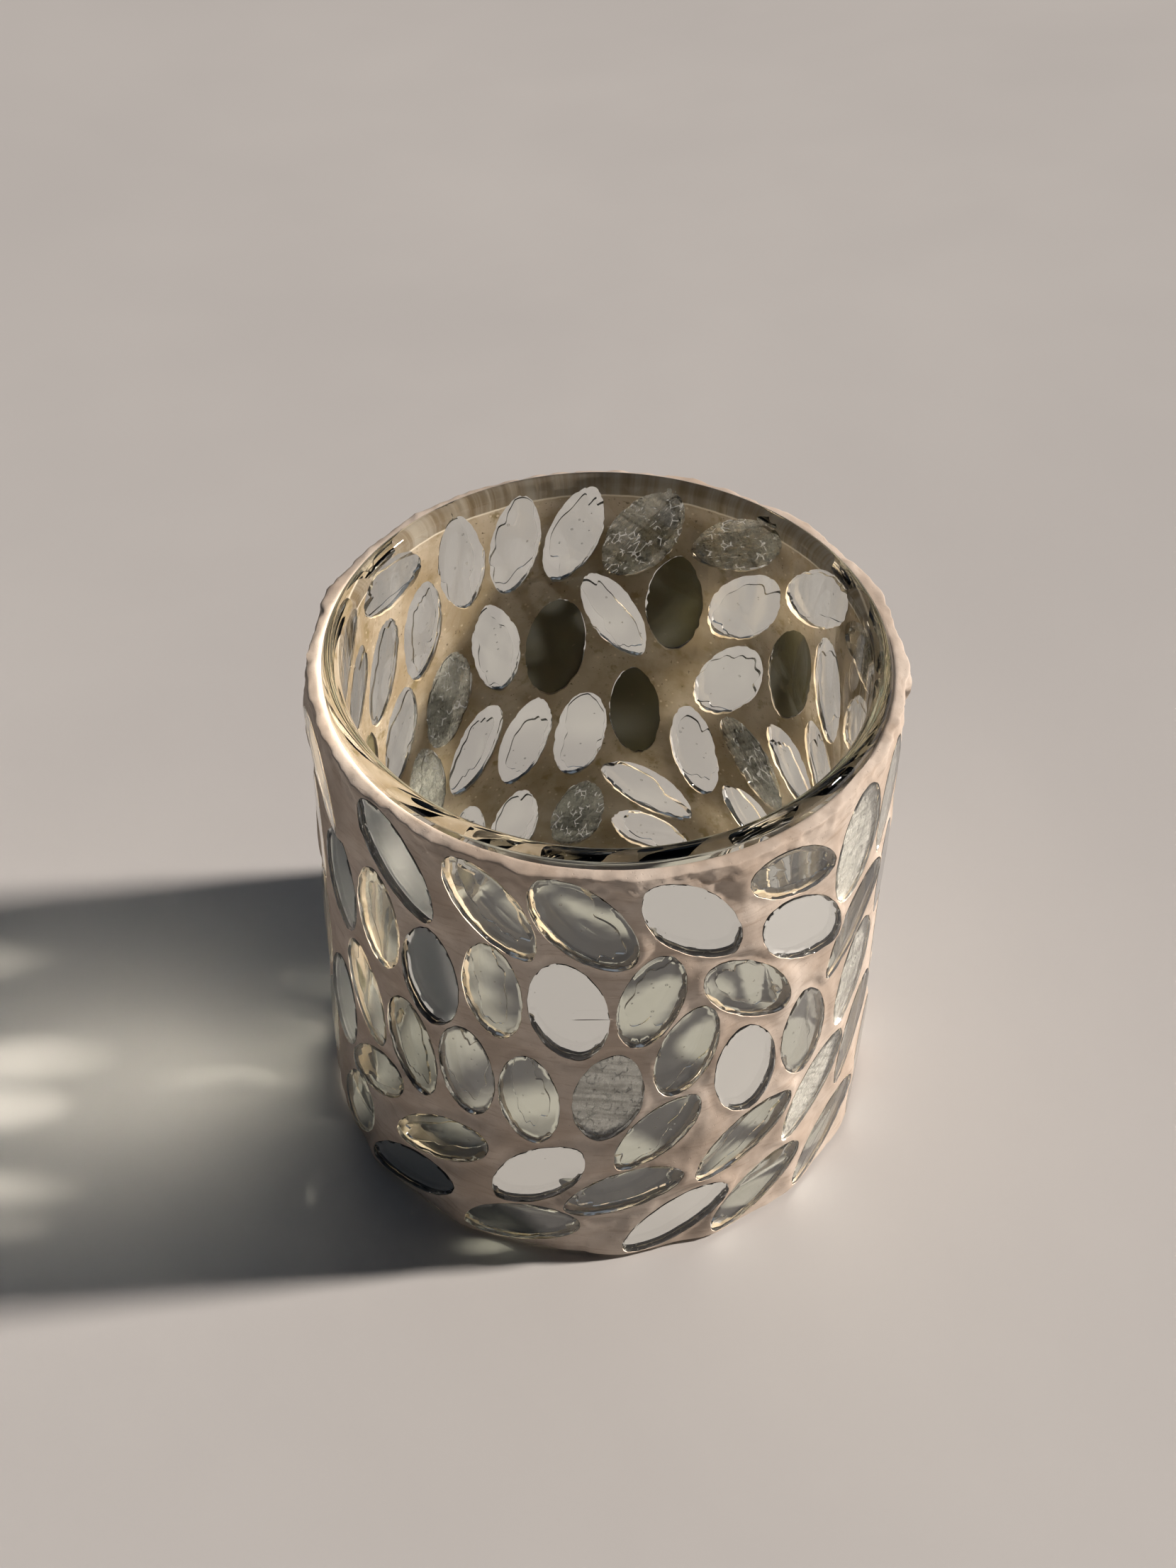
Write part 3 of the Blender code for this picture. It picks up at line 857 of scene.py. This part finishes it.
def band_mesh(loops, low, high, spacing, seed):
    """Triangulates the unrolled band between two heights outside the loops, joined at its seam.

    Returns the points, the triangles, the loops' point numbers and the two borders' point numbers."""
    rng = np.random.default_rng(seed)
    border = np.arange(BORDER_POINTS) / BORDER_POINTS * GIRTH - GIRTH / 2
    columns = int(GIRTH / spacing)
    rows = int((high - low) / (spacing * 0.87))
    xs = (np.arange(columns) + 0.5) / columns * GIRTH - GIRTH / 2
    ys = low + (np.arange(rows) + 0.5) / rows * (high - low)
    grid = np.array([(x + (r % 2) * spacing / 2, y) for r, y in enumerate(ys) for x in xs])
    grid += rng.uniform(-0.22, 0.22, grid.shape) * spacing
    grid[:, 0] = wrapped(grid[:, 0])
    keep = (grid[:, 1] > low + 0.4 * spacing) & (grid[:, 1] < high - 0.4 * spacing)
    for loop in loops:
        close, at = near(grid, loop, spacing)
        keep[close[inside_outline(at, loop) | (gaps(at, loop) < 0.45 * spacing)]] = False

    borders = [np.column_stack((border, np.full_like(border, level))) for level in (low, high)]
    points = np.concatenate(borders + loops + [grid[keep]])
    low_ring = np.arange(BORDER_POINTS)
    high_ring = low_ring + BORDER_POINTS
    loop_rings, first = [], 2 * BORDER_POINTS
    for loop in loops:
        loop_rings.append(np.arange(first, first + len(loop)))
        first += len(loop)

    # the band is unrolled with a copy of each end past the other, so that the seam is meshed whole
    copies, numbers, edges = [], [], []

    def copy(which, shift):
        """Adds these points, moved along, and returns the number of the first."""
        start = sum(len(c) for c in copies)
        copies.append(points[which] + (shift, 0))
        numbers.append(which)
        return start

    for ring in (low_ring, high_ring):
        left = ring[points[ring, 0] > GIRTH / 2 - SEAM_MARGIN]
        right = ring[points[ring, 0] < -GIRTH / 2 + SEAM_MARGIN]
        start = copy(left, -GIRTH)
        copy(ring, 0)
        last = copy(right, GIRTH) + len(right) - 1
        edges.extend((k, k + 1) for k in range(start, last))
    for ring in loop_rings:
        middle, count = points[ring, 0].mean(), len(ring)
        for shift in (-GIRTH, 0, GIRTH):
            if abs(middle + shift) < GIRTH / 2 + SEAM_MARGIN:
                start = copy(ring, shift)
                edges.extend((start + k, start + (k + 1) % count) for k in range(count))
    inner = np.arange(first, len(points))
    for shift in (-GIRTH, 0, GIRTH):
        moved = points[inner, 0] + shift
        copy(inner[np.abs(moved) < GIRTH / 2 + SEAM_MARGIN], shift)

    flat = np.concatenate(copies)
    names = np.concatenate(numbers)
    scaled = [Vector((x * 1000, y * 1000)) for x, y in flat]
    _, _, faces, origins, _, _ = delaunay_2d_cdt(scaled, edges, [], 0, 1e-5)
    origin = np.array([o[0] for o in origins])
    triangles = origin[np.array(faces)]
    middles = flat[triangles].mean(axis=1)
    used = (middles[:, 0] >= -GIRTH / 2) & (middles[:, 0] < GIRTH / 2)
    for loop in loops:
        for shift in (-GIRTH, 0, GIRTH):
            moved = loop + (shift, 0)
            spanned = (middles >= moved.min(axis=0)) & (middles <= moved.max(axis=0))
            close = np.nonzero(used & spanned.all(axis=1))[0]
            if len(close):
                used[close[inside_outline(middles[close], moved)]] = False
    return points, names[triangles[used]], loop_rings, low_ring, high_ring


NEAR_BY, FAR_OFF = 6 * MM, 9 * MM


def grout_radius(points):
    """How far out the wiped surface is at these unrolled points, and how far off the nearest oval is.

    It is level with each oval near its edge, and hollow in wide joints."""
    even, pull = FACE_RADIUS + 0.12 * MM, (3.2 * MM) ** -3  # of the surface far from any oval
    total = np.full(len(points), even * pull)
    weight = np.full(len(points), pull)
    nearest = np.full(len(points), FAR_OFF)
    for tessera in TESSERAE:
        outline = tessera.unrolled(tessera.leaning(tessera.outline), FACE_RADIUS)
        close, at = near(points, outline, NEAR_BY)
        gap = gaps(at, outline)
        turn = at[:, 0] / FACE_RADIUS - tessera.azimuth
        across = tessera.face * np.tan(turn)
        up = at[:, 1] - tessera.height
        plane = tessera.face + across * tessera.tilt[0] + up * tessera.tilt[1] - GROUT_SINK
        share = (gap + 0.12 * MM) ** -3
        total[close] += share * plane / np.cos(turn)
        weight[close] += share
        nearest[close] = np.minimum(nearest[close], gap)
    return total / weight - GROUT_HOLLOW * smooth_step(nearest / (1.6 * MM)), nearest


def layered(places, *layers):
    """Noise in layers, each with its length in mm, its seed and its size in mm."""
    return sum(wave_noise(places, length * MM, seed) * size * MM for length, seed, size in layers)


def on_cup(points, radius):
    """Unrolled points put round the cup."""
    turn = points[:, 0] / FACE_RADIUS
    return np.column_stack((np.sin(turn) * radius, -np.cos(turn) * radius, points[:, 1]))


def grout_piece():
    """The grout: its wiped skin, a pocket round each oval, and the side that set against the cup."""
    builder = Builder("wiped_grout", ["cream_grout", "grout_against_cup"])
    top, foot = GROUT_HIGH.z - RIM_BAND, GROUT_LOW.z + FOOT_BAND
    outlines = [t.leaning(inset(t, -POCKET_GAP)) for t in TESSERAE]
    fronts = [t.unrolled(o, FACE_RADIUS) for t, o in zip(TESSERAE, outlines)]
    points, faces, loops, low_ring, high_ring = band_mesh(fronts, foot, top, GROUT_SPACING, 21)
    radius, nearest = grout_radius(points)
    smooth = on_cup(points, radius)
    band = smooth_step((points[:, 1] - (HEIGHT - 8.5 * MM)) / (4 * MM))
    free = smooth_step(nearest / (0.7 * MM))
    lumps = layered(smooth, (6, 31, 0.05), (2.2, 32, 0.018))
    rough = layered(smooth, (3.2, 33, 0.11), (1.3, 34, 0.05))
    radius = radius + free * (lumps + band * rough)
    skin = builder.add(on_cup(points, radius))
    builder.face(skin[faces], 0)

    # pockets: down the side of each oval, then a little way under it, then on to the cup
    floors, backs = [], []
    for t in TESSERAE:
        seed = SEEDS["creep"] + 10 * t.number
        creep = CREEP[t.kind] * np.clip(0.75 + 0.55 * ring_noise(t.turns, seed, 1, 5, 0.5), 0.1, 2.2)
        creep = creep + np.clip(ring_noise(t.turns, seed + 1, 5, 30, 0.3) - 0.6, -0.4, 1) * 0.22 * MM
        floors.append(t.leaning(drawn_in(t, np.maximum(creep, 0.05 * MM))))
    for t, outline, floor, loop in zip(TESSERAE, outlines, floors, loops):
        side = builder.add(t.in_space(outline, WIPED_DEPTH))
        low = builder.add(t.in_space(outline, THICKNESS + 0.03 * MM))
        shelf = builder.add(t.in_space(floor, THICKNESS + 0.04 * MM))
        builder.strip(skin[loop], side, 0)
        builder.strip(side, low, 1)
        builder.strip(low, shelf, 1)
        backs.append((floor, shelf))

    cup_side = CUP_RADIUS - GROUT_BITE
    inner_loops = [t.unrolled(floor, FACE_RADIUS) for t, floor in zip(TESSERAE, floors)]
    inner_top, inner_foot = top + 0.1 * MM, foot - 0.1 * MM
    flat, inner_faces, inner_rings, inner_low, inner_high = band_mesh(
        inner_loops, inner_foot, inner_top, 1.3 * GROUT_SPACING, 22
    )
    inner = builder.add(on_cup(flat, np.full(len(flat), cup_side)))
    builder.face(inner[inner_faces][:, ::-1], 1)
    for (floor, shelf), ring in zip(backs, inner_rings):
        builder.strip(shelf, inner[ring], 1)

    # the rough lip under the rim, and the foot
    turns = np.linspace(-math.pi, math.pi, BORDER_POINTS, endpoint=False)

    def bridge(outer_ring, outer_radius, inner_ring, lip, steps, up):
        """Rounds an edge from the skin over to the cup, with its highest or lowest line at lip."""
        base, coarse = (top, 1.0) if up else (foot, 0.4)
        rings = [outer_ring]
        for k in range(1, steps):
            share = k / steps
            rise, run = math.sin(share * math.pi / 2), 1 - math.cos(share * math.pi / 2)
            radius = outer_radius + (cup_side - outer_radius) * run
            height = base + (lip - base) * rise
            ring = np.column_stack((np.sin(turns) * radius, -np.cos(turns) * radius, height))
            bumps = layered(ring, (4.5, 41, 0.08), (1.3, 42, 0.04))
            way = np.column_stack((np.sin(turns), -np.cos(turns), np.full_like(turns, 0.6)))
            ring += way * (bumps * (math.sin(share * math.pi) * coarse))[:, None]
            rings.append(builder.add(ring))
        rings.append(inner_ring)
        for first, second in zip(rings, rings[1:]):
            builder.strip(*((first, second) if up else (second, first)))

    lip = GROUT_HIGH.z - 0.1 * MM + 0.14 * MM * ring_noise(turns, 51, 2, 16, 0.8)
    bridge(skin[high_ring], radius[high_ring], inner[inner_high], lip, 8, True)
    hem = GROUT_LOW.z + 0.12 * MM + 0.08 * MM * ring_noise(turns, 52, 3, 30, 0.5)
    bridge(skin[low_ring], radius[low_ring], inner[inner_low], hem, 5, False)
    return builder


# ---- Glue

BUBBLE_WALL = 0.05 * MM


def glue_piece():
    """The film of glue behind each clear or textured oval, and the bubbles caught in it."""
    builder = Builder("glue_films", ["clear_glue"])
    for tessera in TESSERAE:
        if tessera.kind == "mirror":
            continue
        rng = np.random.default_rng(SEEDS["glue"] + tessera.number)
        t = tessera.turns
        a = tessera.half_length * rng.uniform(0.7, 1.0)
        b = tessera.half_width * rng.uniform(0.5, 0.9)
        wobble = 1 + 0.13 * ring_noise(t, SEEDS["blob"] + tessera.number, 2, 4, 0.7)
        wobble += 0.05 * ring_noise(t, SEEDS["ragged"] + tessera.number, 5, 14, 0.5)
        shift = rng.uniform(-1, 1, 2) * (0.3 * tessera.half_width, 0.12 * tessera.half_length)
        blob = np.stack((-b * np.sin(t), a * np.cos(t)), axis=-1) * wobble[:, None] + shift
        share = np.hypot(blob[:, 0] / tessera.half_width, blob[:, 1] / tessera.half_length)
        blob *= np.minimum(1, 0.94 / share)[:, None]
        film(builder, tessera, blob, -GLUE_BITE if tessera.kind == "clear" else GLUE_BEHIND_FOIL)
        for _ in range(rng.integers(3, 8)):
            spot = rng.uniform(-0.7, 0.7, 2) * (tessera.half_width * 0.8, tessera.half_length * 0.8)
            size = rng.uniform(0.07, 0.2) * MM
            turn = np.linspace(0, math.tau, 12, endpoint=False)
            circle = size * np.stack((-np.sin(turn), np.cos(turn)), axis=-1)
            tube(builder, tessera, spot + circle * rng.uniform(0.7, 1.3, 2), BUBBLE_WALL)
    return builder


def film(builder, tessera, blob, gap):
    """A film with this outline, from this far behind the tessera to just inside the cup's surface."""
    middle = blob.mean(axis=0)

    def ring(scale, on_glass):
        spots = tessera.leaning(middle + (blob - middle) * scale)
        wall = np.sqrt((CUP_RADIUS - GLUE_BITE) ** 2 - spots[..., 0] ** 2)
        depth = tessera.face + spots @ tessera.tilt - wall
        return builder.add(tessera.in_space(spots, THICKNESS + gap if on_glass else depth))

    sides = [[ring(scale, on_glass) for scale in (1, 0.75, 0.5, 0.25)] for on_glass in (True, False)]
    close_plate(builder, *sides, ring(0, True)[0], ring(0, False)[0])


def tube(builder, tessera, line, radius):
    """A thin tube behind a tessera along a closed line, about half way between it and the cup."""
    spots = tessera.leaning(line)
    room = np.hypot(tessera.face - THICKNESS, spots[:, 0]) - CUP_RADIUS
    depth = THICKNESS + np.minimum(room / 2, 0.2 * MM)
    centre = tessera.in_space(spots, depth)
    sideways = tessera.leaning(inward_of(line))
    side = sideways[:, 0][:, None] * tessera.across
    side[:, 2] += sideways[:, 1]
    sides = 6
    rings = []
    for k in range(sides):
        turn = math.tau * k / sides
        way = math.cos(turn) * side + math.sin(turn) * tessera.out
        rings.append(builder.add(centre + radius * way))
    for k in range(sides):
        builder.strip(rings[k], rings[(k + 1) % sides])


# ---- Putting the pieces together

MAKERS = {"mirror": mirror_piece, "clear": clear_piece, "textured": textured_piece}

bonded = Builder("bonded_clear_ovals", ["clear_glass"])
for tessera in TESSERAE:
    if tessera.nodes:
        piece = MAKERS[tessera.kind](tessera).build(axes=tessera.axes())
        piece.name = f"{tessera.nodes[0]}_glass"
        finish_piece(piece, tessera.nodes)
    else:
        clear_piece(tessera, bonded)
finish_piece(bonded.build())
finish_piece(cup_piece().build(50), ["glass_cup"])
finish_piece(grout_piece().build(60), ["grout_jacket"])
finish_piece(glue_piece().build())


# ---- Studio

LENS = 61.74
PITCH = math.radians(45.54)
ROLL = math.radians(1.21)
DISTANCE = 436.5 * MM
AIM_RIGHT, AIM_UP = 3.17 * MM, 21.93 * MM  # where the rim's middle is, off the middle of the view
PALE_FLOOR = (0.60, 0.585, 0.575), (0.66, 0.645, 0.63)
FLOOR_RINGS = 0.3, 1.0, 3.0, 10.0  # metres
LEVEL_SKY, HIGH_SKY, SKY_STRENGTH = (0.28, 0.31, 0.36, 1), (0.035, 0.05, 0.075, 1), 0.2
KEY_COLOUR, FILL_COLOUR = (1.0, 0.905, 0.825), (0.72, 0.84, 1.0)


def studio_floor():
    """A pale floor, faintly veined, far wider than the view."""
    n = Nodes("pale_floor")
    veins = n.noise(2.2, 5, 0.6, distortion=0.6)
    colour = n.mix(n.between(veins, 0.35, 0.7), *PALE_FLOOR)
    n.set(Base_Color=colour, Roughness=n.between(n.noise(14, 4), 0.3, 0.7, 0.45, 0.6))
    builder = Builder("studio_floor", [])
    rings = []
    around = np.linspace(0, math.tau, 64, endpoint=False)
    circle = np.column_stack((np.cos(around), np.sin(around), 0 * around))
    for radius in FLOOR_RINGS:
        rings.append(builder.add(circle * radius))
    for inner, outer in zip(rings, rings[1:]):
        builder.strip(outer, inner)
    builder.fan(rings[0], builder.add([(0, 0, 0)])[0])
    floor = builder.build()
    floor.location.z = CUP_LOW.z
    floor.data.materials.append(n.material)


def lamp(name, azimuth, elevation, strength, spread, colour):
    """A far lamp in this direction, spread over this angle, all in degrees."""
    light = bpy.data.lights.new(name, "SUN")
    light.angle = math.radians(spread)
    light.energy = strength
    light.color = colour
    a, e = math.radians(azimuth), math.radians(elevation)
    way = Vector((math.sin(a) * math.cos(e), -math.cos(a) * math.cos(e), math.sin(e)))
    placed(name, light).rotation_euler = way.to_track_quat("Z", "Y").to_euler()


def world():
    """Dim, cool light from all round, brightest from the horizon down."""
    made = bpy.data.worlds.new("studio")
    made.use_nodes = True
    tree = made.node_tree
    background = tree.nodes["Background"]
    way = tree.nodes.new("ShaderNodeTexCoord").outputs["Generated"]
    parts = tree.nodes.new("ShaderNodeSeparateXYZ")
    tree.links.new(way, parts.inputs[0])
    ramp = tree.nodes.new("ShaderNodeValToRGB")
    level, high = ramp.color_ramp.elements
    level.color, high.color, high.position = LEVEL_SKY, HIGH_SKY, 0.5
    tree.links.new(parts.outputs["Z"], ramp.inputs[0])
    tree.links.new(ramp.outputs[0], background.inputs["Color"])
    background.inputs["Strength"].default_value = SKY_STRENGTH
    bpy.context.scene.world = made


def camera():
    """At the photograph's angle, aimed by where the middle of the rim is in it."""
    data = bpy.data.cameras.new("camera")
    data.lens = LENS
    data.clip_start = 0.01
    obj = placed("camera", data)
    back = Vector((0, -math.cos(PITCH), math.sin(PITCH)))
    right = Vector((1, 0, 0))
    up = back.cross(right)
    c, s = math.cos(ROLL), math.sin(ROLL)
    right, up = c * right + s * up, c * up - s * right
    rim = Vector((0, 0, HEIGHT))
    turned = Matrix((right, up, back)).transposed().to_4x4()
    place = rim + back * DISTANCE - right * AIM_RIGHT - up * AIM_UP
    obj.matrix_world = Matrix.Translation(place) @ turned
    bpy.context.scene.camera = obj


studio_floor()
world()
lamp("key", azimuth=98, elevation=34, strength=4.3, spread=4.5, colour=KEY_COLOUR)
lamp("sky", azimuth=190, elevation=60, strength=0.14, spread=60, colour=FILL_COLOUR)
camera()
bpy.context.scene.view_settings.view_transform = "Standard"
